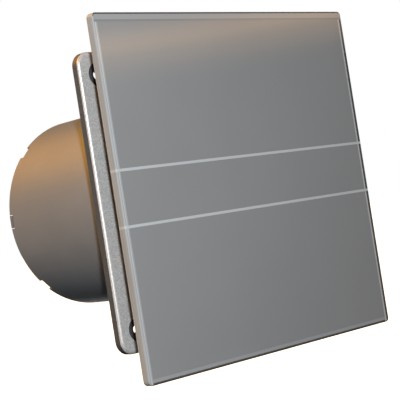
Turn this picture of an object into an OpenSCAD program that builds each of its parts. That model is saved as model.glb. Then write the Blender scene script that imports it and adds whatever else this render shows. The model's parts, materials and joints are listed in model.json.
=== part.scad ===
// Bathroom extractor fan with a square glass front, for a 100 mm duct.
// Origin: centre of the duct in the plane of the wall. +Y runs into the wall, +Z is up.

/* [Front panel] */
// Width and height of the square glass
panel_w = 158; // [150:1:175]
// Thickness of the glass
glass_t = 4.4; // [4:0.1:5]
// Radius of the glass corners
glass_corner_r = 2; // [1:0.5:4]
// Distance from the wall to the front of the glass
standoff = 33.5; // [33:0.5:38]

/* [Frame on the wall] */
// Width and height of the square frame
frame_w = 136; // [136:1:142]
// Thickness of the frame
frame_t = 4.5; // [4.5:0.1:6]
// Radius of the frame corners
frame_corner_r = 6.5; // [4:0.5:9]
// Distance between the wall screws, both ways
screw_pitch = 115; // [114:1:116]
// Diameter of the wall screw holes
screw_hole_d = 4; // [4:0.5:5.5]
// Diameter of the recess round each wall screw
recess_d = 10.8; // [9:0.2:11]

/* [Duct spigot] */
// Outer diameter of the spigot
spigot_d = 98.5; // [98:0.1:99]
// Length of the spigot behind the wall face
spigot_l = 96.5; // [94:0.5:110]
// Wall thickness of the spigot
spigot_wall = 2; // [1.8:0.1:2.2]

/* [Impeller] */
// Number of blades
blade_count = 7; // [5:1:8]
// Diameter over the blade tips
impeller_d = 91.6; // [88:0.2:92]
// Diameter of the impeller hub
hub_d = 56; // [52:1:58]

/* [Damper] */
// Notches round the rim of the spigot
notch_count = 8; // [4:4:8]
// Thickness of each flap
flap_t = 1.2; // [1:0.1:1.4]

/* [Hidden] */
$fn = 48;
eps = 0.01;
gap = 0.3;

// Front panel, from the glass towards the wall
glass_back = -standoff + glass_t;
pad_t = 0.7;
carrier_front = glass_back + pad_t;
carrier_back = carrier_front + 2;
carrier_w = 122;
rib_h = 3;
post_x = 55;
post_z = 28;
post_r = 3;
post_end = -1.5;
socket_front = -10;

// Frame and flange
skin_t = 2;
skin_back = -frame_t + skin_t;
boss_r = 6.6;
recess_depth = 1.2;
flange_t = 2.2;
flange_w = frame_w - 2 * skin_t - 2 * gap;
lip_r = 6;
spigot_r = spigot_d / 2;
bore_r = spigot_r - spigot_wall;
lip_outer_r = bore_r + lip_r;
opening_r = lip_outer_r + 0.75;
root_l = 1;
root_gap = 0.5;

// Motor cup and its arms
cup_r = 33.5;
cup_wall = 2;
cup_front = 2;
cup_back = 38;
arm_front = 6;
arm_back = 30;
arm_t = 3;
arm_count = 4;
arm_angle = -72;
arm_screw_r = 43.4;
arm_boss_r = 3.2;
arm_hole_r = 1.6;
support_screw_r = 1.2;
lug_l = 10;
cover_h = 9;

// Motor
stack_front = 12;
stack_back = 26;
stator_x = 18;
stator_top = 15.5;
stator_bottom = -24;
bar_top = -18;
window_x = 12;
window_top = -13.2;
stator_bore_r = 11.3;
rotor_r = 10.9;
end_ring_t = 1.5;
shaft_r = 2;
shaft_front = 1;
shaft_back = 67;
bush_r = 4.5;
bush_l = 6;
bush_gap = 3;
bracket_t = 2;
bracket_gap = 4;
motor_screw_x = 15;
motor_screw_z = 11.8;
motor_screw_r = 1.5;
ring_angles = [[150, 115], [-30, -65]];
ring_radii = [15.5, 12.4];
ring_t = 1.4;

// Impeller
hub_front = 42;
hub_back = 62;
hub_wall = 2;
blade_t = 1.8;
blade_camber_r = 40;
blade_chord_y = 18;
blade_chord_z = 20;

// Terminal tray and what it holds
tray_x = [14.5, 50];
tray_z = [-65.7, -53.2];
tray_front = -18;
tray_wall = 1.2;
tray_mid_z = (tray_z[0] + tray_z[1]) / 2;
cover_boss_x = 10.5;
cover_boss_z = -60.5;
cover_boss_r = 3.2;
cover_screw_r = 1.2;
cover_t = 1.5;
block_x = [20.5, 33.5];
block_h = 10.5;
pole_pitch = 4.8;
wire_hole_r = 1.7;
wire_way_r = 1.2;
terminal_screw_x = [24, 30];
terminal_screw_r = 0.9;
clamp_x = 38.2;
clamp_post_z = 3.9;
clamp_front = -12;
clamp_t = 2.5;
clamp_w = 3.4;
clamp_screw_r = 0.7;
grommet_x = 44.4;
grommet_bore_r = 2.8;
grommet_r = 3.6;
grommet_lip_r = 4.3;
grommet_lip_t = 1.4;

// Motor leads: places given along the lead arm, across it, and along the duct
lead_r = 0.9;
lead_side = 1.2;
lead_slot_w = 5.4;
lead_inner = [
    [25.5, 7.3], [25.5, 6.6], [26, 5.6], [27.4, 4.6], [30, 4.1], [34, 4.1], [38, 4], [41, 3.4],
    [43.6, 2.4], [45, 0.4], [45.7, -2.4], [46.8, -4.8], [49, -6.4], [52, -7], [55, -7.2], [56.4, -7.2]
];
// Inside the tray the two leads part: places across and up, at the height of the wire entries
lead_y = -7.2;
lead_upper = [[19.4, -55.4], [19.9, -56.6], [20.9, -57.05], [22.5, -57.05]];
lead_lower = [[17, -56], [17, -58.6], [17.6, -60.8], [19.2, -61.8], [20.9, -61.85], [22.5, -61.85]];

// Damper
damper_wall = 2;
ring_outer_r = bore_r - 0.1;
ring_inner_r = ring_outer_r - damper_wall;
notch_depth = 2.6;
notch_w = 7;
damper_front = 84;
stop_y = [88.6, 90];
pin_r = 1;
pin_y = 91.2;
pin_end = 45;
knuckle_r = 2.2;
lug_z = 41.7;
spring_half = 6.4;
spring_r = 1.75;
spring_wire_r = 0.3;
spring_pitch = 0.56;
spring_turns = 12;
knuckle_split = 24;
flap_r = ring_inner_r - gap;

// ---------------------------------------------------------------- shared shapes

// A flat shape drawn in X and Z, from y0 to y1
module plate(y0, y1) {
    translate([0, y1, 0]) rotate([90, 0, 0]) linear_extrude(y1 - y0) children();
}

// A round bar along the duct
module rod(r, y0, y1) {
    translate([0, y0, 0]) rotate([-90, 0, 0]) cylinder(r = r, h = y1 - y0);
}

// A cone along the duct
module taper(r0, r1, y0, y1) {
    translate([0, y0, 0]) rotate([-90, 0, 0]) cylinder(r1 = r0, r2 = r1, h = y1 - y0);
}

// A round tube along the duct
module tube(r_out, r_in, y0, y1) {
    difference() {
        rod(r_out, y0, y1);
        rod(r_in, y0 - 1, y1 + 1);
    }
}

// A section of radius and Y turned about the duct axis
module revolve() {
    rotate([-90, 0, 0]) rotate_extrude($fn = 96) children();
}

// A square with round corners, centred
module round_square(w, r) {
    square([w, w - 2 * r], center = true);
    square([w - 2 * r, w], center = true);
    for (x = [-1, 1], z = [-1, 1])
        translate([x * (w / 2 - r), z * (w / 2 - r)]) circle(r);
}

// A box given by its lowest and highest corners
module box(low, high) {
    translate(low) cube(high - low);
}

// Children in the four corners
module four(x, z) {
    for (i = [-1, 1], j = [-1, 1]) translate([i * x, 0, j * z]) children();
}

// Children turned about the duct axis by an angle in the X and Z plane
module turned(angle) {
    rotate([0, -angle, 0]) children();
}

// Children at each arm of the motor support
module each_arm() {
    for (i = [0 : arm_count - 1]) turned(arm_angle + i * 360 / arm_count) children();
}

// Children at the two motor screws
module motor_screw_places() {
    for (x = [-1, 1]) translate([x * motor_screw_x, 0, motor_screw_z]) children();
}

// A closed tube swept along points, as one solid
function unit(v) = v / norm(v);
function heading(p, i) = unit(p[min(i + 1, len(p) - 1)] - p[max(i - 1, 0)]);
function across(d) = unit(cross(d, abs(d.z) < 0.9 ? [0, 0, 1] : [1, 0, 0]));
module sweep(p, r, sides = 8) {
    n = len(p);
    rings = [
        for (i = [0 : n - 1], k = [0 : sides - 1])
            let (d = heading(p, i), u = across(d), v = cross(d, u), a = k * 360 / sides)
                p[i] + r * (cos(a) * u + sin(a) * v)
    ];
    walls = [
        for (i = [0 : n - 2], k = [0 : sides - 1])
            let (a = i * sides, b = (k + 1) % sides)
                [a + k, a + b, a + sides + b, a + sides + k]
    ];
    ends = [[for (k = [sides - 1 : -1 : 0]) k], [for (k = [0 : sides - 1]) (n - 1) * sides + k]];
    polyhedron(points = rings, faces = concat(walls, ends));
}

// ---------------------------------------------------------------- front panel

module glass_panel() {
    color([0.55, 0.55, 0.56]) plate(-standoff, glass_back) round_square(panel_w, glass_corner_r);
}

module adhesive_pads() {
    color([0.15, 0.15, 0.15]) four(36, 44) plate(glass_back, carrier_front) square([26, 12], center = true);
}

module carrier_post() {
    difference() {
        union() {
            rod(post_r + 1.2, carrier_back - eps, carrier_back + 8);
            rod(post_r, carrier_back, post_end - 1);
            taper(post_r, post_r - 0.8, post_end - 1, post_end);
        }
        box([-0.6, -9, -4], [0.6, 0, 4]);
    }
}

module panel_carrier() {
    rim = carrier_w - 3;
    color([0.3, 0.3, 0.31]) {
        plate(carrier_front, carrier_back) round_square(carrier_w, 6);
        plate(carrier_back - eps, carrier_back + rib_h) difference() {
            round_square(carrier_w, 6);
            round_square(rim, 4.5);
        }
        tube(40, 38.5, carrier_back - eps, carrier_back + rib_h);
        for (a = [45, 135]) turned(a) difference() {
            box([-78, carrier_back - eps, -0.75], [78, carrier_back + rib_h, 0.75]);
            box([-39, carrier_back - 1, -2], [39, carrier_back + rib_h + 1, 2]);
        }
        four(post_x, post_z) carrier_post();
    }
}

// ---------------------------------------------------------------- frame and housing

module front_frame() {
    place = screw_pitch / 2;
    color([0.66, 0.66, 0.67]) difference() {
        union() {
            difference() {
                plate(-frame_t, 0) round_square(frame_w, frame_corner_r);
                plate(skin_back, 1) round_square(frame_w - 2 * skin_t, frame_corner_r - skin_t);
            }
            four(place, place) rod(boss_r, skin_back - eps, 0);
        }
        rod(opening_r, -frame_t - 1, 1);
        four(place, place) rod(recess_d / 2, -frame_t - 1, -frame_t + recess_depth);
        four(place, place) rod(screw_hole_d / 2, -frame_t, 1);
        four(post_x, post_z) rod(5, -frame_t - 1, 1);
        box([tray_x[0] - gap, -frame_t - 1, tray_z[0] - gap],
            [tray_x[1] + gap, skin_back + 1, tray_z[1] + gap]);
        translate([cover_boss_x, 0, cover_boss_z]) rod(cover_boss_r + 0.4, -frame_t - 1, 1);
    }
}

// Rounded inlet edge at the front of the bore
module inlet_lip() {
    revolve() intersection() {
        translate([lip_outer_r, 0]) difference() {
            circle(lip_r, $fn = 64);
            circle(lip_r - spigot_wall, $fn = 64);
        }
        translate([bore_r, -lip_r]) square([lip_r, lip_r - root_l]);
    }
}

module terminal_tray() {
    difference() {
        box([tray_x[0], tray_front, tray_z[0]], [tray_x[1], -flange_t + eps, tray_z[1]]);
        box([tray_x[0] + tray_wall, tray_front - 1, tray_z[0] + tray_wall],
            [tray_x[1] - tray_wall, -flange_t, tray_z[1] - tray_wall]);
        // Way in for the motor leads
        box([15.1, lead_y - 1.4, tray_z[1] - 2], [20.6, lead_y + 1.3, tray_z[1] + 1]);
    }
    for (z = [-1, 1])
        box([clamp_x - clamp_w / 2, clamp_front + clamp_t, tray_mid_z + z * clamp_post_z - 1.1],
            [clamp_x + clamp_w / 2, -flange_t + eps, tray_mid_z + z * clamp_post_z + 1.1]);
    translate([cover_boss_x, 0, cover_boss_z]) rod(cover_boss_r, tray_front, -flange_t + eps);
}

// Lug inside the bore for one screw of the motor support
module support_lug() {
    difference() {
        box([arm_screw_r - 3, arm_back, -3], [bore_r + 1, arm_back + lug_l, 3]);
        translate([arm_screw_r, 0, 0]) rod(support_screw_r, arm_back - 1, arm_back + lug_l - 2);
    }
}

module mounting_plate() {
    place = screw_pitch / 2;
    color([0.42, 0.42, 0.43]) difference() {
        union() {
            plate(-flange_t, 0) difference() {
                round_square(flange_w, frame_corner_r - skin_t - gap);
                circle(spigot_r + 0.4);
            }
            tube(spigot_r + 1, spigot_r, -flange_t, 0);
            inlet_lip();
            four(post_x, post_z) rod(4.7, socket_front, -flange_t + eps);
            terminal_tray();
        }
        four(place, place) rod(boss_r + gap, -flange_t - 1, 1);
        four(post_x, post_z) rod(post_r + 0.06, socket_front - 1, -0.9);
        translate([grommet_x, 0, tray_mid_z]) rod(grommet_r, -flange_t - 1, 1);
        translate([cover_boss_x, 0, cover_boss_z]) rod(cover_screw_r, tray_front - 1, -6);
        for (z = [-1, 1])
            translate([clamp_x, 0, tray_mid_z + z * clamp_post_z]) rod(clamp_screw_r, clamp_front, -4);
        // Slot in the inlet edge where the leads cross it
        turned(arm_angle)
            box([bore_r - 2, -lip_r - 1, -lead_slot_w / 2], [lip_outer_r + 1, -4.6, lead_slot_w / 2]);
    }
}

// Round tube that goes into the duct, its root bonded into a socket in the mounting plate
module duct_spigot() {
    color([0.42, 0.42, 0.43]) difference() {
        union() {
            tube(spigot_r, bore_r, 0, spigot_l);
            tube(spigot_r - root_gap, bore_r, -root_l, eps);
            each_arm() support_lug();
        }
        for (i = [0 : notch_count - 1]) turned(i * 360 / notch_count)
            box([bore_r - 2, spigot_l - notch_depth, -notch_w / 2],
                [spigot_r + 1, spigot_l + 1, notch_w / 2]);
    }
}

module cable_grommet() {
    color([0.1, 0.1, 0.1]) translate([grommet_x, 0, tray_mid_z]) difference() {
        union() {
            rod(grommet_r, -flange_t, 0);
            rod(grommet_lip_r, -flange_t - grommet_lip_t, -flange_t);
        }
        rod(grommet_bore_r, -flange_t - grommet_lip_t - 1, 1);
    }
}

// ---------------------------------------------------------------- terminals

function pole_z(i) = tray_mid_z + (i - 0.5) * pole_pitch;

module terminal_block() {
    color([0.93, 0.92, 0.88]) difference() {
        box([block_x[0], -flange_t - block_h, tray_mid_z - pole_pitch],
            [block_x[1], -flange_t, tray_mid_z + pole_pitch]);
        for (i = [0, 1])
            translate([block_x[0] - 1, lead_y, pole_z(i)])
                rotate([0, 90, 0]) cylinder(r = wire_hole_r, h = 20);
        for (i = [0, 1], x = terminal_screw_x) translate([x, 0, pole_z(i)]) rod(1.6, -20, lead_y);
        box([26.4, -20, tray_mid_z - 0.6], [27.6, -8, tray_mid_z + 0.6]);
    }
}

module terminal_inserts() {
    color([0.8, 0.65, 0.3]) for (i = [0, 1]) difference() {
        translate([block_x[0] + 1.2, lead_y, pole_z(i)])
            rotate([0, 90, 0]) cylinder(r = wire_hole_r, h = 10.6);
        translate([block_x[0], lead_y, pole_z(i)]) rotate([0, 90, 0]) cylinder(r = wire_way_r, h = 20);
        for (x = terminal_screw_x) translate([x, 0, pole_z(i)]) rod(terminal_screw_r, -12, lead_y);
    }
}

module terminal_screws() {
    color([0.75, 0.75, 0.76]) for (i = [0, 1], x = terminal_screw_x) translate([x, 0, pole_z(i)])
        difference() {
            union() {
                rod(terminal_screw_r, -9, -7);
                rod(1.5, -11.4, -9);
            }
            box([-2, -12, -0.25], [2, -10.9, 0.25]);
        }
}

module terminal_cover() {
    color([0.5, 0.5, 0.51]) difference() {
        union() {
            plate(tray_front - cover_t, tray_front) union() {
                translate([tray_x[0], tray_z[0]]) square([tray_x[1] - tray_x[0], tray_z[1] - tray_z[0]]);
                translate([cover_boss_x, cover_boss_z]) circle(3.6);
                translate([cover_boss_x, cover_boss_z - 3.6]) square([6, 7.2]);
            }
            box([tray_x[0] + tray_wall + 0.1, tray_front - eps, tray_z[0] + tray_wall + 0.1],
                [tray_x[1] - tray_wall - 0.1, tray_front + 1.2, tray_z[1] - tray_wall - 0.1]);
        }
        translate([cover_boss_x, 0, cover_boss_z]) rod(1.6, tray_front - 5, tray_front + 1);
        box([tray_x[0] + 2 * tray_wall + 0.1, tray_front, tray_z[0] + 2 * tray_wall + 0.1],
            [tray_x[1] - 2 * tray_wall - 0.1, tray_front + 2, tray_z[1] - 2 * tray_wall - 0.1]);
    }
}

// A pan-head screw along the duct, head at the front, with a cross in the head
module pan_screw(r, head_r, head_h, front, back) {
    difference() {
        union() {
            rod(head_r, front, front + head_h);
            rod(r, front + head_h - eps, back);
        }
        for (a = [0, 90]) turned(a)
            box([-head_r * 0.6, front - 1, -0.3], [head_r * 0.6, front + head_h * 0.5, 0.3]);
    }
}

module cover_screw() {
    color([0.75, 0.75, 0.76]) translate([cover_boss_x, 0, cover_boss_z])
        pan_screw(cover_screw_r, 2.7, 1.7, tray_front - cover_t - 1.7, -7);
}

module cable_clamp() {
    color([0.85, 0.85, 0.83]) difference() {
        box([clamp_x - clamp_w / 2, clamp_front, tray_mid_z - 4.9],
            [clamp_x + clamp_w / 2, clamp_front + clamp_t, tray_mid_z + 4.9]);
        for (z = [-1, 1])
            translate([clamp_x, 0, tray_mid_z + z * clamp_post_z])
                rod(clamp_screw_r + 0.1, clamp_front - 1, 0);
        translate([clamp_x - 5, clamp_front + clamp_t + 1.6, tray_mid_z])
            rotate([0, 90, 0]) cylinder(r = 2.6, h = 10);
    }
}

module clamp_screws() {
    color([0.75, 0.75, 0.76]) for (z = [-1, 1]) translate([clamp_x, 0, tray_mid_z + z * clamp_post_z])
        pan_screw(clamp_screw_r, 1.1, 1, clamp_front - 1, -5);
}

// Lead on one side of the arm, s = -1 or 1
function along_arm(q, s) = [
    q[0] * cos(arm_angle) - s * lead_side * sin(arm_angle),
    q[1],
    q[0] * sin(arm_angle) + s * lead_side * cos(arm_angle)
];
function lead_path(s) = concat(
    [for (q = lead_inner) along_arm(q, s)],
    [for (q = s > 0 ? lead_upper : lead_lower) [q[0], lead_y, q[1]]]
);

module motor_leads() {
    color([0.75, 0.2, 0.15]) sweep(lead_path(1), lead_r);
    color([0.2, 0.35, 0.7]) sweep(lead_path(-1), lead_r);
}

// ---------------------------------------------------------------- motor and its support

module motor_support() {
    color([0.33, 0.33, 0.34]) difference() {
        union() {
            tube(cup_r, cup_r - cup_wall, cup_front, cup_back);
            tube(cup_r, 7.5, cup_back - cup_wall, cup_back);
            motor_screw_places() rod(3.2, stack_back + bracket_gap + bracket_t, cup_back - eps);
            each_arm() {
                box([cup_r - 0.5, arm_front, -arm_t / 2], [bore_r - 0.35, arm_back, arm_t / 2]);
                translate([arm_screw_r, 0, 0]) rod(arm_boss_r, arm_front, arm_back);
            }
        }
        each_arm() translate([arm_screw_r, 0, 0]) rod(arm_hole_r, 0, arm_back + 1);
        motor_screw_places() rod(motor_screw_r, 20, cup_back - 1);
        // Way out for the leads
        turned(arm_angle) box([cup_r - 4, 0, -lead_slot_w / 2], [cup_r + 1, 5.2, lead_slot_w / 2]);
    }
}

module support_screws() {
    color([0.75, 0.75, 0.76]) each_arm() translate([arm_screw_r, 0, 0])
        pan_screw(support_screw_r, 2.6, 1.6, arm_front - 1.6, arm_back + lug_l - 3);
}

// Shallow dome closing the front of the motor cup
module motor_cover() {
    dome_r = (cup_r * cup_r + cover_h * cover_h) / (2 * cover_h);
    color([0.33, 0.33, 0.34]) difference() {
        union() {
            revolve() intersection() {
                translate([0, dome_r - cover_h]) difference() {
                    circle(dome_r, $fn = 128);
                    circle(dome_r - 1.8, $fn = 128);
                }
                translate([0, -cover_h - 1]) square([cup_r, cover_h + 1]);
            }
            tube(cup_r, cup_r - cup_wall, -eps, cup_front);
            tube(cup_r - cup_wall - 0.1, cup_r - cup_wall - 1.6, -0.6, cup_front + 3);
        }
        turned(arm_angle) box([cup_r - 6, 0.6, -lead_slot_w / 2], [cup_r + 1, 6, lead_slot_w / 2]);
    }
}

module stator_laminations() {
    color([0.4, 0.4, 0.42]) difference() {
        plate(stack_front, stack_back) difference() {
            translate([-stator_x, stator_bottom]) square([2 * stator_x, stator_top - stator_bottom]);
            circle(stator_bore_r, $fn = 96);
            translate([-window_x, bar_top]) square([2 * window_x, window_top - bar_top]);
            for (x = [-1, 1]) translate([x * motor_screw_x, motor_screw_z]) circle(motor_screw_r + 0.1);
        }
        for (angles = ring_angles) at_ring(angles) for (x = [0, ring_span(angles)])
            box([x - ring_t / 2 - 0.1, stack_front - 1, -ring_t / 2 - 0.1],
                [x + ring_t / 2 + 0.1, stack_back + 1, ring_t / 2 + 0.1]);
    }
}

// Children at a shading ring, with +X from its outer side to its inner side
module at_ring(angles) {
    a = ring_radii[0] * [cos(angles[0]), sin(angles[0])];
    b = ring_radii[1] * [cos(angles[1]), sin(angles[1])];
    translate([a.x, 0, a.y]) turned(atan2(b.y - a.y, b.x - a.x)) children();
}

// Distance between the two sides of a shading ring
function ring_span(angles) = norm([
    ring_radii[1] * cos(angles[1]) - ring_radii[0] * cos(angles[0]),
    ring_radii[1] * sin(angles[1]) - ring_radii[0] * sin(angles[0])
]);

module shading_rings() {
    half = ring_t / 2;
    color([0.8, 0.45, 0.25]) for (angles = ring_angles) at_ring(angles) difference() {
        box([-half, stack_front - ring_t, -half], [ring_span(angles) + half, stack_back + ring_t, half]);
        box([half, stack_front, -ring_t], [ring_span(angles) - half, stack_back, ring_t]);
    }
}

module bobbin() {
    color([0.9, 0.88, 0.8]) difference() {
        union() {
            box([-11.5, stack_front - 1.2, stator_bottom - 1.2], [11.5, stack_back + 1.2, bar_top + 1.2]);
            for (x = [-11.5, 10.3]) box([x, 6.5, -29], [x + 1.2, 31.5, -13.6]);
        }
        box([-20, stack_front - 0.15, stator_bottom - 0.15], [20, stack_back + 0.15, bar_top + 0.15]);
    }
}

module coil_winding() {
    color([0.72, 0.35, 0.15]) difference() {
        box([-10.3, 7.4, -28.6], [10.3, 30.6, -13.9]);
        box([-11, stack_front - 1.2, stator_bottom - 1.2], [11, stack_back + 1.2, bar_top + 1.2]);
    }
}

// End bracket, drawn for the rear; the front one is its mirror image
module bracket() {
    y0 = stack_back + bracket_gap;
    difference() {
        union() {
            plate(y0, y0 + bracket_t) union() {
                translate([-stator_x, motor_screw_z - 5.5]) square([2 * stator_x, 9]);
                translate([-9, -9]) square([18, 18]);
            }
            motor_screw_places() rod(3, stack_back, y0 + eps);
            rod(bush_r + 2, stack_back + bush_gap, stack_back + bush_gap + bush_l);
        }
        rod(bush_r, stack_back, stack_back + bush_gap + bush_l + 1);
        motor_screw_places() rod(motor_screw_r + 0.1, stack_back - 1, y0 + bracket_t + 1);
    }
}

module to_front() {
    translate([0, stack_front + stack_back, 0]) mirror([0, 1, 0]) children();
}

module front_bracket() {
    color([0.7, 0.7, 0.72]) to_front() bracket();
}

module rear_bracket() {
    color([0.7, 0.7, 0.72]) bracket();
}

module bush() {
    y0 = stack_back + bush_gap;
    tube(bush_r, shaft_r + 0.03, y0, y0 + bush_l);
}

module bearing_bushes() {
    color([0.65, 0.5, 0.3]) {
        bush();
        to_front() bush();
    }
}

module motor_screws() {
    front = stack_front - bracket_gap - bracket_t;
    color([0.75, 0.75, 0.76]) motor_screw_places() pan_screw(motor_screw_r, 2.8, 2, front - 2, cup_back - 2);
}

// ---------------------------------------------------------------- rotor

module rotor_core() {
    color([0.6, 0.6, 0.62]) difference() {
        union() {
            rod(rotor_r, stack_front, stack_back);
            rod(rotor_r - 0.6, stack_front - end_ring_t, stack_back + end_ring_t);
        }
        rod(shaft_r, 0, 50);
    }
}

module rotor_shaft() {
    color([0.8, 0.8, 0.82]) rod(shaft_r, shaft_front, shaft_back);
}

module thrust_washers() {
    y0 = stack_back + end_ring_t;
    color([0.85, 0.8, 0.6]) {
        tube(3.8, shaft_r, y0, y0 + 1.1);
        to_front() tube(3.8, shaft_r, y0, y0 + 1.1);
    }
}

// Cambered blade standing out along +X
module blade() {
    mid_y = (hub_front + hub_back) / 2;
    chord = norm([blade_chord_y, blade_chord_z]);
    rise = sqrt(blade_camber_r * blade_camber_r - chord * chord / 4);
    centre = [mid_y + rise * blade_chord_z / chord, -rise * blade_chord_y / chord];
    intersection() {
        tube(impeller_d / 2, hub_d / 2 - 1, hub_front + 0.5, hub_back - 0.5);
        box([20, hub_front, -blade_chord_z / 2 - 1], [50, hub_back, blade_chord_z / 2 + 1]);
        translate([20, centre[0], centre[1]]) rotate([0, 90, 0]) difference() {
            cylinder(r = blade_camber_r, h = 30, $fn = 96);
            translate([0, 0, -1]) cylinder(r = blade_camber_r - blade_t, h = 32, $fn = 96);
        }
    }
}

module impeller() {
    color([0.85, 0.85, 0.86]) difference() {
        union() {
            tube(hub_d / 2, hub_d / 2 - hub_wall, hub_front, hub_back);
            rod(hub_d / 2, hub_back - hub_wall, hub_back);
            rod(6, hub_front + 3, hub_back - eps);
            for (i = [0 : 5]) turned(i * 60)
                box([5, hub_front + 8, -0.7], [hub_d / 2 - 1, hub_back - 1, 0.7]);
            for (i = [0 : blade_count - 1]) turned(i * 360 / blade_count) blade();
        }
        rod(shaft_r, 0, 80);
    }
}

module impeller_nut() {
    color([0.8, 0.7, 0.4]) translate([0, hub_back, 0]) rotate([-90, 0, 0]) difference() {
        cylinder(r = 4, h = 3, $fn = 6);
        translate([0, 0, -1]) cylinder(r = shaft_r, h = 5);
    }
}

// ---------------------------------------------------------------- damper

// Children at the damper pin, which stands upright across the duct
module at_pin(r, z0, z1) {
    translate([0, pin_y, z0]) cylinder(r = r, h = z1 - z0);
}

// Lug at the top or the bottom of the damper ring, round where the flaps swing past it
module pin_lug(z0, z1) {
    at_pin(knuckle_r, z0, z1);
    box([-knuckle_r, stop_y[0] - 2, z0], [knuckle_r, pin_y, z1]);
}

module damper_ring() {
    root = ring_inner_r + damper_wall / 4;
    tab_w = notch_w - 2 * gap;
    color([0.5, 0.5, 0.51]) difference() {
        union() {
            tube(ring_outer_r, ring_inner_r, damper_front, spigot_l);
            tube(root, ring_inner_r - damper_wall, stop_y[0], stop_y[1]);
            box([-2, damper_front, -root], [2, stop_y[0] - 0.1, root]);
            pin_lug(-root, -lug_z);
            pin_lug(lug_z, root);
            for (i = [0 : 3]) turned(i * 90)
                box([root, spigot_l - notch_depth + 1.2, -tab_w / 2], [spigot_r, spigot_l, tab_w / 2]);
        }
        at_pin(pin_r, -pin_end, pin_end);
    }
}

module damper_pin() {
    color([0.8, 0.8, 0.82]) at_pin(pin_r, -pin_end, pin_end);
}

// Close-wound wire round the pin, between the two middle knuckles
module damper_spring() {
    color([0.75, 0.75, 0.76]) for (i = [0 : spring_turns - 1])
        translate([0, pin_y, (i - (spring_turns - 1) / 2) * spring_pitch])
            rotate_extrude($fn = 32) translate([spring_r, 0]) circle(spring_wire_r, $fn = 16);
}

// Stretches of the pin that carry the knuckles of one flap; the right flap's are the mirror image
knuckles = [[-knuckle_split + 0.15, -spring_half - 0.3], [knuckle_split + 0.15, lug_z - 0.35]];

// Left flap, a half disc on its own knuckles
module half_flap() {
    difference() {
        union() {
            difference() {
                plate(pin_y - flap_t / 2, pin_y + flap_t / 2) difference() {
                    circle(flap_r, $fn = 96);
                    translate([-0.4, -60]) square([60, 120]);
                }
                at_pin(knuckle_r + 0.5, -50, 50);
            }
            for (k = knuckles) {
                at_pin(knuckle_r, k[0], k[1]);
                box([-knuckle_r - 1.5, pin_y - flap_t / 2, k[0]], [0, pin_y + flap_t / 2, k[1]]);
            }
            // Stiffening rib across the back of the flap
            box([-flap_r * 0.85, pin_y + flap_t / 2 - eps, -0.8],
                [-knuckle_r - 4, pin_y + flap_t / 2 + 1.2, 0.8]);
        }
        at_pin(pin_r + 0.06, -50, 50);
    }
}

module left_flap() {
    color([0.58, 0.58, 0.59]) half_flap();
}

module right_flap() {
    color([0.58, 0.58, 0.59]) rotate([0, 180, 0]) half_flap();
}

glass_panel();
panel_carrier();
adhesive_pads();
front_frame();
mounting_plate();
duct_spigot();
motor_support();
support_screws();
motor_cover();
stator_laminations();
shading_rings();
bobbin();
coil_winding();
front_bracket();
rear_bracket();
bearing_bushes();
motor_screws();
motor_leads();
terminal_block();
terminal_inserts();
terminal_screws();
terminal_cover();
cover_screw();
cable_clamp();
clamp_screws();
cable_grommet();
damper_ring();
damper_pin();
damper_spring();
rotor_core();
rotor_shaft();
thrust_washers();
impeller();
impeller_nut();
left_flap();
right_flap();
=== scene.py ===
"""Bathroom extractor fan with a square glass front: looks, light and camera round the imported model.

Everything is in metres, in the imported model's frame: +Y runs along the duct into the wall, +Z is up.
"""

import json
import math

import bmesh
import bpy
from mathutils import Matrix, Vector

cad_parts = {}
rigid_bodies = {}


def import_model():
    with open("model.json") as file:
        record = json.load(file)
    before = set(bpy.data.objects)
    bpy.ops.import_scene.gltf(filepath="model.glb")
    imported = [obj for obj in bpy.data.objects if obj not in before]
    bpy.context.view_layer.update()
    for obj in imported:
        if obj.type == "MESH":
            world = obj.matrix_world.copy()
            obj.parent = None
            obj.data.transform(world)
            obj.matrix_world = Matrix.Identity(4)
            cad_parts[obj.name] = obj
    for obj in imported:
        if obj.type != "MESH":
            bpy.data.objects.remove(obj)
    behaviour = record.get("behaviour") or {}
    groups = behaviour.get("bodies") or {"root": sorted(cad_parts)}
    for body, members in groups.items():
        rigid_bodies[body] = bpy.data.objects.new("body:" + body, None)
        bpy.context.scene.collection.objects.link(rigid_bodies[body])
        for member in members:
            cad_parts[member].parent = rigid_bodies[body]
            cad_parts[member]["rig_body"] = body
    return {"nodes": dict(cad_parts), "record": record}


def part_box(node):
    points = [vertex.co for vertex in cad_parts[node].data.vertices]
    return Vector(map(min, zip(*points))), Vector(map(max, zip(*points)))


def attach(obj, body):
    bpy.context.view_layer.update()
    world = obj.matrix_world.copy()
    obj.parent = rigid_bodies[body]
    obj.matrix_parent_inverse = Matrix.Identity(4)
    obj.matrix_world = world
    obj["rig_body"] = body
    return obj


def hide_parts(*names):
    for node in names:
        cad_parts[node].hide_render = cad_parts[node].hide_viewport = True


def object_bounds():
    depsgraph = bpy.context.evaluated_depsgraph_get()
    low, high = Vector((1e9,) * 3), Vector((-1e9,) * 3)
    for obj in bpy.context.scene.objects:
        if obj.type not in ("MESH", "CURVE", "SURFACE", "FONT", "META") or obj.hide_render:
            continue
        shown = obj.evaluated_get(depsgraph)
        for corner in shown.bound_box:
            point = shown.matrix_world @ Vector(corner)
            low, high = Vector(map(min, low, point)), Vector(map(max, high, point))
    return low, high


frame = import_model()
CAD_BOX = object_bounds()

MM = 0.001

# ---------------------------------------------------------------- node helpers


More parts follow.
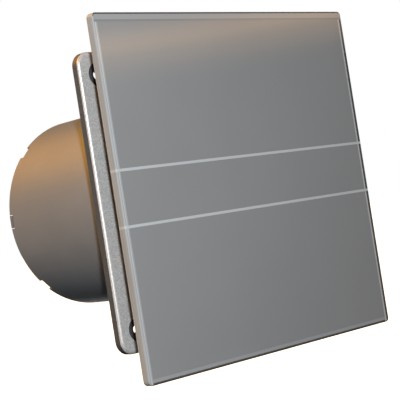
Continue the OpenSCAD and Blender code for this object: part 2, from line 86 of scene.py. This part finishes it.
class Shader:
    """A material's node tree with short calls for the nodes used here."""

    def __init__(self, name):
        self.material = bpy.data.materials.new(name)
        self.material.use_nodes = True
        self.nodes = self.material.node_tree.nodes
        self.links = self.material.node_tree.links
        self.surface = self.nodes["Principled BSDF"]

    def add(self, kind, **settings):
        node = self.nodes.new(kind)
        for key, value in settings.items():
            setattr(node, key, value)
        return node

    def link(self, out, into):
        self.links.new(out, into)

    def set(self, **values):
        """Constant values, by socket name with spaces as underscores."""
        for key, value in values.items():
            self.surface.inputs[key.replace("_", " ")].default_value = value

    def place(self):
        return self.add("ShaderNodeTexCoord").outputs["Object"]

    def noise(self, scale, detail=3.0, roughness=0.55, stretch=(1, 1, 1)):
        """Noise over the object, with details about 1/scale metres across."""
        mapping = self.add("ShaderNodeMapping")
        mapping.inputs["Scale"].default_value = stretch
        self.link(self.place(), mapping.inputs["Vector"])
        node = self.add("ShaderNodeTexNoise")
        node.inputs["Scale"].default_value = scale
        node.inputs["Detail"].default_value = detail
        node.inputs["Roughness"].default_value = roughness
        self.link(mapping.outputs["Vector"], node.inputs["Vector"])
        return node.outputs["Fac"]

    def ramp(self, value, low, high, start=0.3, end=0.7):
        """Turns a value into a colour between low and high."""
        node = self.add("ShaderNodeValToRGB")
        node.color_ramp.elements[0].position = start
        node.color_ramp.elements[1].position = end
        node.color_ramp.elements[0].color = (*low, 1)
        node.color_ramp.elements[1].color = (*high, 1)
        self.link(value, node.inputs["Fac"])
        return node.outputs["Color"]

    def between(self, value, low, high):
        """Turns a value from 0 to 1 into a number from low to high."""
        node = self.add("ShaderNodeMapRange")
        node.inputs["To Min"].default_value = low
        node.inputs["To Max"].default_value = high
        self.link(value, node.inputs["Value"])
        return node.outputs["Result"]

    def paint(self, value, low, high, start=0.3, end=0.7):
        """Base colour between low and high."""
        self.link(self.ramp(value, low, high, start, end), self.surface.inputs["Base Color"])

    def gloss(self, value, low, high):
        """Roughness from low to high."""
        self.link(self.between(value, low, high), self.surface.inputs["Roughness"])

    def bump(self, height, strength, distance, edge=0.0):
        """Relief from a height, over edges rounded to a radius of edge metres."""
        node = self.add("ShaderNodeBump")
        node.inputs["Strength"].default_value = strength
        node.inputs["Distance"].default_value = distance
        self.link(height, node.inputs["Height"])
        if edge:
            bevel = self.add("ShaderNodeBevel", samples=4)
            bevel.inputs["Radius"].default_value = edge
            self.link(bevel.outputs["Normal"], node.inputs["Normal"])
        self.link(node.outputs["Normal"], self.surface.inputs["Normal"])


def shade(colour, factor):
    """The colour made darker or lighter."""
    return tuple(min(1.0, c * factor) for c in colour)


# ---------------------------------------------------------------- materials

GLASS_IOR = 1.52

# How much a noise changes along X, Y and Z: a small value draws it out along that axis
EVEN = (1, 1, 1)
ALONG_Y = (1, 0.05, 1)
ACROSS_Y = (0.05, 1, 0.05)

def moulded_plastic(name, colour, roughness):
    """Injection-moulded plastic: fine spark-eroded grain and faint flow marks."""
    shader = Shader(name)
    shader.set(Specular_IOR_Level=0.45)
    shader.paint(shader.noise(35, 4), shade(colour, 0.94), shade(colour, 1.06))
    shader.gloss(shader.noise(220, 2), roughness - 0.06, roughness + 0.08)
    shader.bump(shader.noise(2600, 2), 0.25, 0.03 * MM, 0.35 * MM)
    return shader.material


def silver_paint(name):
    """Silver metallic paint: aluminium flakes about half a millimetre apart, some lighter than others."""
    shader = Shader(name)
    shader.set(Metallic=0.35, Coat_Weight=0.25, Coat_Roughness=0.2)
    flakes = shader.add("ShaderNodeTexVoronoi", feature="F1")
    flakes.inputs["Scale"].default_value = 2300
    shader.link(shader.place(), flakes.inputs["Vector"])
    value = shader.add("ShaderNodeSeparateColor")
    shader.link(flakes.outputs["Color"], value.inputs["Color"])
    shader.paint(value.outputs["Red"], (0.55, 0.55, 0.55), (0.76, 0.76, 0.76), 0.1, 0.95)
    shader.gloss(value.outputs["Green"], 0.3, 0.5)
    shader.bump(shader.noise(1500, 4, 0.7), 0.3, 0.04 * MM)
    return shader.material


def silver_side_painted_shade(name):
    """Painted shade: a much darker copy of the silver paint for the narrow sides of the frame."""
    shader = Shader(name)
    shader.set(Metallic=0.5, Coat_Weight=0.1, Coat_Roughness=0.3)
    shader.paint(shader.noise(1700, 3), (0.076, 0.086, 0.096), (0.13, 0.146, 0.16))
    shader.gloss(shader.noise(900, 2), 0.4, 0.55)
    shader.bump(shader.noise(1500, 4, 0.7), 0.25, 0.04 * MM)
    return shader.material


def grey_glass(name, colour):
    """Toughened glass painted on the back, with a faint cloud in the paint under the gloss."""
    shader = Shader(name)
    shader.set(Roughness=0.06, Specular_IOR_Level=0.5)
    shader.set(Coat_Weight=1.0, Coat_Roughness=0.02, Coat_IOR=GLASS_IOR)
    shader.paint(shader.noise(14, 3), shade(colour, 0.97), shade(colour, 1.03))
    shader.bump(shader.noise(30, 1), 0.02, 0.05 * MM)
    return shader.material


def glass_edge(name, colour, roughness=0.25):
    """Ground and polished glass edge, with fine grinding lines along its upright sides."""
    shader = Shader(name)
    shader.set(Roughness=roughness)
    shader.set(Coat_Weight=0.3, Coat_Roughness=roughness / 2, Coat_IOR=GLASS_IOR)
    lines = shader.noise(900, 3, 0.6, (1.0, 1.0, 0.02))
    shader.paint(lines, shade(colour, 0.86), shade(colour, 1.1))
    shader.bump(lines, 0.25, 0.05 * MM)
    return shader.material


def metal(name, colour, roughness, scale=1400, brush=EVEN):
    """Bare or plated metal with fine tool marks, drawn out along the axes where brush is small."""
    shader = Shader(name)
    shader.set(Metallic=1.0)
    marks = shader.noise(scale, 3, 0.6, brush)
    shader.paint(marks, shade(colour, 0.8), shade(colour, 1.1))
    shader.gloss(marks, roughness - 0.08, roughness + 0.14)
    shader.bump(marks, 0.2, 0.02 * MM, 0.15 * MM)
    return shader.material


def laminations(name):
    """Sheet edges of an electrical steel stack, as bands a millimetre apart along the duct axis."""
    shader = Shader(name)
    shader.set(Metallic=0.85)
    wave = shader.add("ShaderNodeTexWave", wave_type="BANDS", bands_direction="Y", wave_profile="SAW")
    wave.inputs["Scale"].default_value = 314
    wave.inputs["Distortion"].default_value = 0.4
    shader.link(shader.place(), wave.inputs["Vector"])
    shader.paint(wave.outputs["Fac"], (0.12, 0.11, 0.11), (0.32, 0.31, 0.31), 0.05, 0.4)
    shader.gloss(shader.noise(300, 3), 0.4, 0.65)
    shader.bump(wave.outputs["Fac"], 0.5, 0.08 * MM)
    return shader.material


def soft_rubber(name, colour):
    """Matt rubber or foam with a fine open surface."""
    shader = Shader(name)
    shader.set(Specular_IOR_Level=0.25, Sheen_Weight=0.15, Sheen_Roughness=0.5)
    shader.paint(shader.noise(700, 3), shade(colour, 0.8), shade(colour, 1.3))
    shader.gloss(shader.noise(500, 2), 0.75, 0.95)
    shader.bump(shader.noise(1800, 3), 0.4, 0.06 * MM, 0.2 * MM)
    return shader.material


def wire_insulation(name, colour):
    """Smooth extruded insulation with a faint unevenness."""
    shader = Shader(name)
    shader.set(Specular_IOR_Level=0.5)
    shader.paint(shader.noise(400, 2), shade(colour, 0.9), shade(colour, 1.08))
    shader.gloss(shader.noise(600, 2), 0.28, 0.42)
    shader.bump(shader.noise(1500, 2), 0.15, 0.02 * MM)
    return shader.material


GLASS_FRONT = (0.3, 0.303, 0.311)
GLASS_LINE = (0.58, 0.6, 0.62)
GLASS_EDGE = (0.33, 0.37, 0.4)

MATERIALS = {
    "carrier_plastic": moulded_plastic("carrier_plastic", (0.06, 0.06, 0.062), 0.5),
    "foam_tape": soft_rubber("foam_tape", (0.02, 0.02, 0.02)),
    "silver_paint": silver_paint("silver_paint"),
    "housing_plastic": moulded_plastic("housing_plastic", (0.222, 0.239, 0.258), 0.36),
    "dark_plastic": moulded_plastic("dark_plastic", (0.07, 0.07, 0.073), 0.4),
    "zinc_steel": metal("zinc_steel", (0.66, 0.66, 0.62), 0.32, 500),
    "lamination_steel": laminations("lamination_steel"),
    "copper": metal("copper", (0.72, 0.36, 0.22), 0.35, brush=ALONG_Y),
    "bobbin_nylon": moulded_plastic("bobbin_nylon", (0.72, 0.69, 0.6), 0.45),
    "enamelled_wire": metal("enamelled_wire", (0.55, 0.2, 0.07), 0.25, 900),
    "die_cast": metal("die_cast", (0.5, 0.5, 0.51), 0.45, 420),
    "sintered_bronze": metal("sintered_bronze", (0.4, 0.28, 0.14), 0.5, 1800),
    "lead_insulation": wire_insulation("lead_insulation", (0.42, 0.05, 0.035)),
    "terminal_nylon": moulded_plastic("terminal_nylon", (0.76, 0.74, 0.68), 0.42),
    "brass": metal("brass", (0.72, 0.52, 0.2), 0.28, 700),
    "grommet_rubber": soft_rubber("grommet_rubber", (0.018, 0.018, 0.018)),
    "damper_plastic": moulded_plastic("damper_plastic", (0.19, 0.19, 0.195), 0.42),
    "shaft_steel": metal("shaft_steel", (0.72, 0.72, 0.73), 0.18, brush=ALONG_Y),
    "spring_steel": metal("spring_steel", (0.62, 0.62, 0.62), 0.25, 800),
    "rotor_aluminium": metal("rotor_aluminium", (0.55, 0.55, 0.56), 0.3, brush=ACROSS_Y),
    "impeller_plastic": moulded_plastic("impeller_plastic", (0.5, 0.5, 0.51), 0.38),
    "flap_plastic": moulded_plastic("flap_plastic", (0.3, 0.3, 0.305), 0.4),
}


# ---------------------------------------------------------------- mesh helpers

WELD = 0.002 * MM  # CAD vertices closer than this are one
FLAT_ANGLE = 0.6  # degrees between CAD faces that are joined into one
SHARP_ANGLE = 40  # degrees at an edge that is rounded over
SMOOTH_ANGLE = 32  # degrees up to which an edge is shaded smooth
FACE_WEIGHT = 90  # how far large faces rule the shading next to them, 50 being not at all
NARROW_ROUND = 2  # steps in a narrow rounded edge
WIDE_ROUND = 6  # steps in a wide one


def add_object(name, mesh, materials):
    piece = bpy.data.objects.new(name, mesh)
    bpy.context.scene.collection.objects.link(piece)
    for material in materials:
        mesh.materials.append(material)
    return piece


def smooth_by_angle(mesh, degrees):
    """Smooth shading, with sharp edges kept above an angle."""
    bm = bmesh.new()
    bm.from_mesh(mesh)
    for face in bm.faces:
        face.smooth = True
    for edge in bm.edges:
        edge.smooth = edge.calc_face_angle(0) < math.radians(degrees)
    bm.to_mesh(mesh)
    bm.free()


def clean_copy(node):
    """The CAD node's shape with its flat faces joined up again."""
    bm = bmesh.new()
    bm.from_mesh(frame["nodes"][node].data)
    bmesh.ops.remove_doubles(bm, verts=bm.verts, dist=WELD)
    flat = math.radians(FLAT_ANGLE)
    bmesh.ops.dissolve_limit(bm, angle_limit=flat, verts=bm.verts, edges=bm.edges)
    bm.normal_update()
    return bm


def sharp_edges(bm):
    limit = math.radians(SHARP_ANGLE)
    return [e for e in bm.edges if len(e.link_faces) == 2 and e.calc_face_angle(0) > limit]


def round_over(bm, edges, radius, steps=NARROW_ROUND, clamp=True):
    """Rounds the edges; clamp makes the radius smaller where there is no room for it."""
    bmesh.ops.bevel(
        bm, geom=edges, offset=radius, segments=steps, profile=0.5, affect="EDGES", clamp_overlap=clamp
    )
    bm.normal_update()


def finish_piece(bm, name, node, materials):
    """Turns the shape into a piece that stands for its CAD node."""
    mesh = bpy.data.meshes.new(name)
    bm.to_mesh(mesh)
    bm.free()
    piece = add_object(name, mesh, materials)
    smooth_by_angle(mesh, SMOOTH_ANGLE)
    even = piece.modifiers.new("even_normals", "WEIGHTED_NORMAL")
    even.keep_sharp = True
    even.weight = FACE_WEIGHT
    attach(piece, frame["nodes"][node]["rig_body"])
    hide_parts(node)
    return piece


def slot_of(node):
    for part in frame["record"]["subparts"]:
        if part["node"] == node:
            return part["material_slot"]
    raise KeyError(node)


# ---------------------------------------------------------------- moulded and turned parts

# Radius in mm of the rounded edges of each part
EDGE_RADII = {
    "panel_carrier": 0.3,
    "adhesive_pads": 0.1,
    "mounting_plate": 0.25,
    "duct_spigot": 0.3,
    "motor_support": 0.3,
    "support_screws": 0.15,
    "motor_cover": 0.3,
    "stator_laminations": 0.1,
    "shading_rings": 0.15,
    "bobbin": 0.15,
    "front_bracket": 0.2,
    "rear_bracket": 0.2,
    "bearing_bushes": 0.2,
    "motor_screws": 0.15,
    "terminal_block": 0.2,
    "terminal_inserts": 0.08,
    "terminal_screws": 0.08,
    "terminal_cover": 0.25,
    "cover_screw": 0.15,
    "cable_clamp": 0.2,
    "clamp_screws": 0.08,
    "cable_grommet": 0.3,
    "damper_ring": 0.25,
    "damper_pin": 0.2,
    "rotor_core": 0.2,
    "rotor_shaft": 0.3,
    "thrust_washers": 0.1,
    "impeller": 0.25,
    "impeller_nut": 0.25,
    "left_flap": 0.2,
    "right_flap": 0.2,
}


def make_rounded_parts():
    for node, radius in EDGE_RADII.items():
        bm = clean_copy(node)
        round_over(bm, sharp_edges(bm), radius * MM)
        finish_piece(bm, node + "_body", node, [MATERIALS[slot_of(node)]])


# ---------------------------------------------------------------- silver frame

FRAME_FILLET = 1.5 * MM  # radius of the front edges
FRAME_RIM = 2.2 * MM  # how far in from the outside the front edges are looked for
FRAME_SMALL_R = 0.2 * MM  # radius of all other edges
SCREW_PLACE = 57.5 * MM  # screw holes from the middle, both ways
RECESS_R = 5.45 * MM  # just over the radius of the recess round a screw hole
RECESS_SHADE_TOP = 0.25 * MM  # how far below the face the painted shade of a recess begins, done in the dark carrier plastic


def make_frame():
    """Square frame with rounded front edges; its narrow sides and screw recesses are darkened as painted
    shade.
    """
    low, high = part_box("front_frame")
    bm = clean_copy("front_frame")
    half = (high.x - low.x) / 2

    def at_front_rim(vert):
        at_front = abs(vert.co.y - low.y) < 0.01 * MM
        return at_front and max(abs(vert.co.x), abs(vert.co.z)) > half - FRAME_RIM

    front = [e for e in sharp_edges(bm) if all(at_front_rim(v) for v in e.verts)]
    round_over(bm, front, FRAME_FILLET, WIDE_ROUND, False)
    round_over(bm, sharp_edges(bm), FRAME_SMALL_R)
    surfaces = {
        "face": MATERIALS["silver_paint"],
        # narrow sides: painted shade, a dark copy of the silver paint
        "side": silver_side_painted_shade("silver_side_painted_shade"),
        # screw recesses: painted shade, in the dark carrier plastic
        "recess": MATERIALS["carrier_plastic"],
    }
    for face in bm.faces:
        middle = face.calc_center_median()
        from_screw = math.hypot(abs(middle.x) - SCREW_PLACE, abs(middle.z) - SCREW_PLACE)
        kind = "face"
        if from_screw < RECESS_R and middle.y > low.y + RECESS_SHADE_TOP:
            kind = "recess"
        elif abs(face.normal.y) < 0.35 and middle.y > low.y + FRAME_FILLET * 0.6:
            kind = "side"
        face.material_index = list(surfaces).index(kind)
    finish_piece(bm, "front_frame_body", "front_frame", list(surfaces.values()))


# ---------------------------------------------------------------- wound and coiled parts


def tube_along(points, radius, sides, closed=False):
    """Vertices and faces of a round tube along points."""
    count = len(points)
    verts, faces = [], []
    for i, point in enumerate(points):
        before = points[i - 1] if closed or i else points[i]
        after = points[(i + 1) % count] if closed or i < count - 1 else points[i]
        way = (after - before).normalized()
        side = way.cross(Vector((0, 0, 1)) if abs(way.z) < 0.9 else Vector((1, 0, 0))).normalized()
        up = way.cross(side)
        for k in range(sides):
            angle = 2 * math.pi * k / sides
            verts.append(point + radius * (math.cos(angle) * side + math.sin(angle) * up))
    spans = count if closed else count - 1
    for i in range(spans):
        a, b = i * sides, (i + 1) % count * sides
        for k in range(sides):
            n = (k + 1) % sides
            faces.append((a + k, b + k, b + n, a + n))
    if not closed:
        faces.append(tuple(range(sides - 1, -1, -1)))
        faces.append(tuple((count - 1) * sides + k for k in range(sides)))
    return verts, faces


def joined(tubes):
    """One mesh shape from several tubes."""
    bm = bmesh.new()
    for verts, faces in tubes:
        made = [bm.verts.new(v) for v in verts]
        for face in faces:
            bm.faces.new([made[k] for k in face])
    bmesh.ops.recalc_face_normals(bm, faces=bm.faces)
    return bm


def loop_round(low, high, x, corner, steps):
    """Rounded rectangle in the plane across X, with some steps in each corner."""
    points = []
    for cy, cz, start in (
        (high.y - corner, high.z - corner, 0),
        (low.y + corner, high.z - corner, 90),
        (low.y + corner, low.z + corner, 180),
        (high.y - corner, low.z + corner, 270),
    ):
        for k in range(steps + 1):
            angle = math.radians(start + 90 * k / steps)
            points.append(Vector((x, cy + corner * math.cos(angle), cz + corner * math.sin(angle))))
    return points


WIRE_R = 0.28 * MM
WIRE_SIDES = 6
COIL_LAYERS = 2
LAYER_STEP = 1.7 * WIRE_R  # less than the wire's thickness, as its turns nest
COIL_CORNER = 2.2 * MM
CORNER_STEPS = 5


def make_coil():
    """Enamelled wire as layers of closed turns, over the full width of the bobbin."""
    low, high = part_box("coil_winding")
    turns = int((high.x - low.x) / (2 * WIRE_R))
    pitch = (high.x - low.x - 2 * WIRE_R) / (turns - 1)
    inset = Vector((0, WIRE_R, WIRE_R))
    tubes = []
    for k in range(turns):
        x = low.x + WIRE_R + k * pitch
        for layer in range(COIL_LAYERS):
            depth = inset + Vector((0, 1, 1)) * layer * LAYER_STEP
            turn = loop_round(low + depth, high - depth, x, COIL_CORNER, CORNER_STEPS)
            tubes.append(tube_along(turn, WIRE_R, WIRE_SIDES, True))
    finish_piece(joined(tubes), "coil_winding_body", "coil_winding", [MATERIALS["enamelled_wire"]])


SPRING_TURNS = 12
SPRING_TURN_STEPS = 24
SPRING_WIRE_R = 0.27 * MM
SPRING_SIDES = 8


def make_spring():
    """Helix round the damper pin; the legs that push the flaps are left out."""
    low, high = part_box("damper_spring")
    middle = (low + high) / 2
    radius = (high.x - low.x) / 2 - SPRING_WIRE_R
    rise = high.z - low.z - 2 * SPRING_WIRE_R
    steps = SPRING_TURNS * SPRING_TURN_STEPS
    points = []
    for k in range(steps + 1):
        angle = 2 * math.pi * SPRING_TURNS * k / steps
        z = low.z + SPRING_WIRE_R + rise * k / steps
        points.append(Vector((middle.x + radius * math.cos(angle), middle.y + radius * math.sin(angle), z)))
    bm = joined([tube_along(points, SPRING_WIRE_R, SPRING_SIDES)])
    finish_piece(bm, "damper_spring_body", "damper_spring", [MATERIALS["spring_steel"]])


def make_leads():
    """The CAD motor leads, with their flat-sided insulation made round."""
    bm = clean_copy("motor_leads")
    piece = finish_piece(bm, "motor_leads_body", "motor_leads", [MATERIALS["lead_insulation"]])
    smooth = piece.modifiers.new("round", "SUBSURF")
    smooth.levels = smooth.render_levels = 1


# ---------------------------------------------------------------- glass panel

LINE_HEIGHT = 12.0 * MM  # middle of each printed line above and below the centre
LINE_WIDTH = 1.2 * MM
CORNER_R = 2.0 * MM
ARRIS = 0.5 * MM  # the ground-off edge between a face and a side
GLASS_SMOOTH_ANGLE = 20
SQUARE_ON = 0.99  # part of a normal along Y from which a face belongs to the front or the back
SLANT = 0.1  # part of a normal along an axis from which a face leans that way

# Strips of the front face, lighter or darker than the rest: painted reflections and painted shade for what
# the ground edge
# does to light in the glass: (side, from, to, shade name), in mm from that side's outer edge
RIM_PAINTED_LIGHT = [
    ("top", 0.0, 0.8, "rim_black"),
    ("top", 0.8, 3.1, "rim_pale"),
    ("top", 3.1, 4.1, "rim_dark"),
    ("left", 0.0, 0.9, "rim_mid"),
    ("left", 0.9, 1.5, "rim_bright"),
    ("left", 1.5, 2.1, "rim_mid"),
    ("right", 0.0, 1.9, "rim_black"),
    ("right", 1.9, 2.8, "rim_bright"),
    ("bottom", 0.0, 1.1, "rim_black"),
    ("bottom", 1.1, 2.6, "rim_pale"),
]


def distance_from(side, point, low, high):
    """Millimetres from a side of the glass to a point on it."""
    return {
        "left": point.x - low.x,
        "right": high.x - point.x,
        "bottom": point.z - low.z,
        "top": high.z - point.z,
    }[side] / MM


def cut_across(bm, axis, level):
    """Divides every face that crosses the plane at this level."""
    place, way = Vector((0, 0, 0)), Vector((0, 0, 0))
    place[axis], way[axis] = level, 1
    geometry = [*bm.verts, *bm.edges, *bm.faces]
    bmesh.ops.bisect_plane(bm, geom=geometry, dist=1e-6, plane_co=place, plane_no=way)


def glass_face_kind(face, low, high):
    """Name of the surface a face of the glass belongs to."""
    middle, normal = face.calc_center_median(), face.normal
    on_line = abs(abs(middle.z) - LINE_HEIGHT) < LINE_WIDTH / 2
    if normal.y > SQUARE_ON:
        return "back"
    if normal.y > -SQUARE_ON:
        if abs(normal.y) <= SLANT:
            return "edge_line" if on_line else "edge"
        if on_line:
            return "arris_line"
        # Arris faces turned to the left keep a slightly lighter copy of the edge colour; the rest are
        # painted shade, nearly black
        upward = abs(normal.x) < 0.5 and normal.z > SLANT
        return "arris" if normal.x < -SLANT and not upward else "arris_painted_shade"
    if on_line:
        return "line"
    for side, start, end, kind in RIM_PAINTED_LIGHT:
        if start < distance_from(side, middle, low, high) < end:
            return kind
    return "front"


def make_glass():
    """The square glass with round corners, ground edges and two printed lines that show in its edge too."""
    low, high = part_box("glass_panel")
    bm = bmesh.new()
    bmesh.ops.create_cube(bm, size=1)
    for vert in bm.verts:
        vert.co = [high[i] if vert.co[i] > 0 else low[i] for i in range(3)]
    corners = [e for e in bm.edges if abs(e.verts[0].co.y - e.verts[1].co.y) > MM]
    round_over(bm, corners, CORNER_R, WIDE_ROUND, False)
    rim_edges = [e for e in bm.edges if abs(e.calc_face_angle(0) - math.pi / 2) < 0.02]
    round_over(bm, rim_edges, ARRIS, NARROW_ROUND, False)
    for side in (-1, 1):
        for edge in (-1, 1):
            cut_across(bm, 2, side * LINE_HEIGHT + edge * LINE_WIDTH / 2)
    for side, start, end, _ in RIM_PAINTED_LIGHT:
        axis = 0 if side in ("left", "right") else 2
        for distance in sorted({start, end} - {0}):
            from_low = side in ("left", "bottom")
            cut_across(bm, axis, low[axis] + distance * MM if from_low else high[axis] - distance * MM)
    bm.normal_update()
    materials = {
        "front": grey_glass("grey_glass", GLASS_FRONT),
        "line": grey_glass("glass_line", GLASS_LINE),
        "back": grey_glass("glass_back", shade(GLASS_FRONT, 0.5)),
        "edge": glass_edge("glass_edge", GLASS_EDGE),
        "edge_line": glass_edge("glass_edge_line", shade(GLASS_EDGE, 1.35)),
        "arris": glass_edge("glass_arris", shade(GLASS_EDGE, 1.1), 0.45),
        "arris_line": glass_edge("glass_arris_line", shade(GLASS_EDGE, 1.5), 0.45),
        # arris turned up, right or down: painted shade, a nearly black copy of the edge colour
        "arris_painted_shade": glass_edge("glass_arris_dark", shade(GLASS_EDGE, 0.1), 0.5),
        # rim_ colours: painted reflections and painted shade of the ground edge, not colours of the glass
        "rim_pale": grey_glass("glass_rim_pale", shade(GLASS_FRONT, 1.25)),
        "rim_dark": grey_glass("glass_rim_dark", shade(GLASS_FRONT, 0.88)),
        "rim_black": grey_glass("glass_rim_black", shade(GLASS_FRONT, 0.3)),
        "rim_mid": grey_glass("glass_rim_mid", shade(GLASS_FRONT, 1.4)),
        "rim_bright": grey_glass("glass_rim_bright", shade(GLASS_FRONT, 1.9)),
    }
    names = list(materials)
    for face in bm.faces:
        face.material_index = names.index(glass_face_kind(face, low, high))
    mesh = bpy.data.meshes.new("glass_front")
    bm.to_mesh(mesh)
    bm.free()
    piece = add_object("glass_front", mesh, list(materials.values()))
    smooth_by_angle(mesh, GLASS_SMOOTH_ANGLE)
    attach(piece, "front_panel")
    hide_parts("glass_panel")


# ---------------------------------------------------------------- stage, light and camera

CAMERA_PLACE = (-0.3909, -0.4264, -0.0125)
CAMERA_YAW = 42.16
CAMERA_PITCH = 0.80
CAMERA_ROLL = -8.98
CAMERA_LENS = 108.3
SENSOR_WIDTH = 36
NEAREST = 0.01
FLOOR_DROP = 0.30
FLOOR_HALF = 30.0


def make_camera():
    data = bpy.data.cameras.new("camera")
    data.lens = CAMERA_LENS
    data.sensor_width = SENSOR_WIDTH
    data.clip_start = NEAREST
    camera = bpy.data.objects.new("camera", data)
    turn = (
        Matrix.Rotation(math.radians(-CAMERA_YAW), 4, "Z")
        @ Matrix.Rotation(math.radians(90 + CAMERA_PITCH), 4, "X")
        @ Matrix.Rotation(math.radians(CAMERA_ROLL), 4, "Z")
    )
    camera.matrix_world = Matrix.Translation(CAMERA_PLACE) @ turn
    bpy.context.scene.collection.objects.link(camera)
    bpy.context.scene.camera = camera


def make_floor():
    """Plain pale floor well below the object; it neither lights the object nor mirrors in it."""
    mesh = bpy.data.meshes.new("floor")
    z = CAD_BOX[0].z - FLOOR_DROP
    ways = ((-1, -1), (1, -1), (1, 1), (-1, 1))
    mesh.from_pydata([(x * FLOOR_HALF, y * FLOOR_HALF, z) for x, y in ways], [], [(0, 1, 2, 3)])
    shader = Shader("pale_floor")
    shader.paint(shader.noise(2, 2), (0.88, 0.88, 0.88), (0.9, 0.9, 0.9))
    shader.set(Roughness=0.9, Emission_Color=(1, 1, 1, 1), Emission_Strength=1.0)
    floor = add_object("floor", mesh, [shader.material])
    floor.visible_diffuse = False
    floor.visible_glossy = False


# World colours by the sine of the height above the horizon. SKY is the same all round. BACK_GLOW is a
# warm lamp behind on the left, FRONT_GLOW a warm one in front on the right, where the glass mirrors
# it, and STUDIO_WHITE the white walls behind on the right
SKY = [
    (-1.0, (0.0, 0.0, 0.0)),
    (-0.1, (0.02, 0.02, 0.021)),
    (0.1, (0.03, 0.03, 0.03)),
    (0.4, (0.25, 0.2, 0.16)),
    (1.0, (0.03, 0.02, 0.02)),
]
BACK_GLOW = [
    (0.3, (0.0, 0.0, 0.0)),
    (0.75, (5.3, 2.15, 0.0)),
    (1.0, (0.8, 0.3, 0.0)),
]
STUDIO_WHITE = [
    (-0.4, (0.02, 0.02, 0.02)),
    (-0.1, (1.8, 1.8, 1.85)),
    (0.08, (1.5, 1.5, 1.55)),
    (0.25, (0.1, 0.1, 0.1)),
    (1.0, (0.0, 0.0, 0.0)),
]
FRONT_GLOW = [
    (0.12, (0.0, 0.0, 0.0)),
    (0.14, (0.75, 0.42, 0.13)),
    (0.152, (1.8, 1.0, 0.38)),
    (0.161, (0.6, 0.4, 0.2)),
    (0.175, (0.0, 0.0, 0.0)),
]

# Colours, way, and how far a direction lies along that way where the glow begins and where it is full
GLOWS = [
    (BACK_GLOW, (-0.8, 0.6, 0.0), 0.2, 0.7),
    (FRONT_GLOW, (0.67, -0.74, 0.0), 0.6, 0.9),
    (STUDIO_WHITE, (0.6, 0.8, 0.0), 0.4, 0.8),
]


def sky_ramp(nodes, links, height, stops):
    """Colours by height; height comes in as 0 to 1, the stops are at -1 to 1."""
    ramp = nodes.new("ShaderNodeValToRGB")
    elements = ramp.color_ramp.elements
    while len(elements) < len(stops):
        elements.new(0.5)
    for element, (level, colour) in zip(elements, stops):
        element.position = (level + 1) / 2
        element.color = (*colour, 1)
    links.new(height, ramp.inputs["Fac"])
    return ramp.outputs["Color"]


def colour_mix(nodes, links, kind, factor, first, second):
    """Mixes two colours; factor and the colours are sockets or values."""
    node = nodes.new("ShaderNodeMix")
    node.data_type = "RGBA"
    node.blend_type = kind
    node.clamp_result = False
    for index, value in ((0, factor), (6, first), (7, second)):
        if isinstance(value, bpy.types.NodeSocket):
            links.new(value, node.inputs[index])
        else:
            node.inputs[index].default_value = value
    return node.outputs[2]


def make_world():
    """White to the camera; SKY and the glows are what lights the object and mirrors in it."""
    world = bpy.data.worlds.new("studio")
    bpy.context.scene.world = world
    world.use_nodes = True
    nodes, links = world.node_tree.nodes, world.node_tree.links
    place = nodes.new("ShaderNodeTexCoord").outputs["Generated"]
    split = nodes.new("ShaderNodeSeparateXYZ")
    links.new(place, split.inputs["Vector"])
    height = nodes.new("ShaderNodeMapRange")
    height.inputs["From Min"].default_value = -1
    links.new(split.outputs["Z"], height.inputs["Value"])
    lit = sky_ramp(nodes, links, height.outputs["Result"], SKY)
    for stops, way, start, full in GLOWS:
        facing = nodes.new("ShaderNodeVectorMath")
        facing.operation = "DOT_PRODUCT"
        facing.inputs[1].default_value = way
        links.new(place, facing.inputs[0])
        mask = nodes.new("ShaderNodeMapRange")
        mask.inputs["From Min"].default_value = start
        mask.inputs["From Max"].default_value = full
        links.new(facing.outputs["Value"], mask.inputs["Value"])
        glow = sky_ramp(nodes, links, height.outputs["Result"], stops)
        lit = colour_mix(nodes, links, "ADD", mask.outputs["Result"], lit, glow)
    seen = nodes.new("ShaderNodeLightPath").outputs["Is Camera Ray"]
    shown = colour_mix(nodes, links, "MIX", seen, lit, (1, 1, 1, 1))
    links.new(shown, nodes["Background"].inputs["Color"])


def area_light(name, place, target, size, power, colour=(1, 1, 1)):
    data = bpy.data.lights.new(name, "AREA")
    data.shape = "DISK"
    data.size = size
    data.energy = power
    data.color = colour
    light = bpy.data.objects.new(name, data)
    way = Vector(target) - Vector(place)
    light.rotation_euler = way.to_track_quat("-Z", "Y").to_euler()
    light.location = place
    light.visible_camera = False
    bpy.context.scene.collection.objects.link(light)


def make_lights():
    area_light("camera_light", (-0.415, -0.497, 0.13), (0, 0, 0), 0.02, 3.8, (0.94, 1.0, 1.03))
    area_light("side_fill", (-0.9, 0.45, 0.2), (0, 0.05, 0), 0.4, 0.5, (0.7, 1.0, 1.2))


bpy.context.scene.view_settings.view_transform = "Standard"
make_camera()
make_floor()
make_world()
make_lights()
make_glass()
make_frame()
make_rounded_parts()
make_coil()
make_spring()
make_leads()
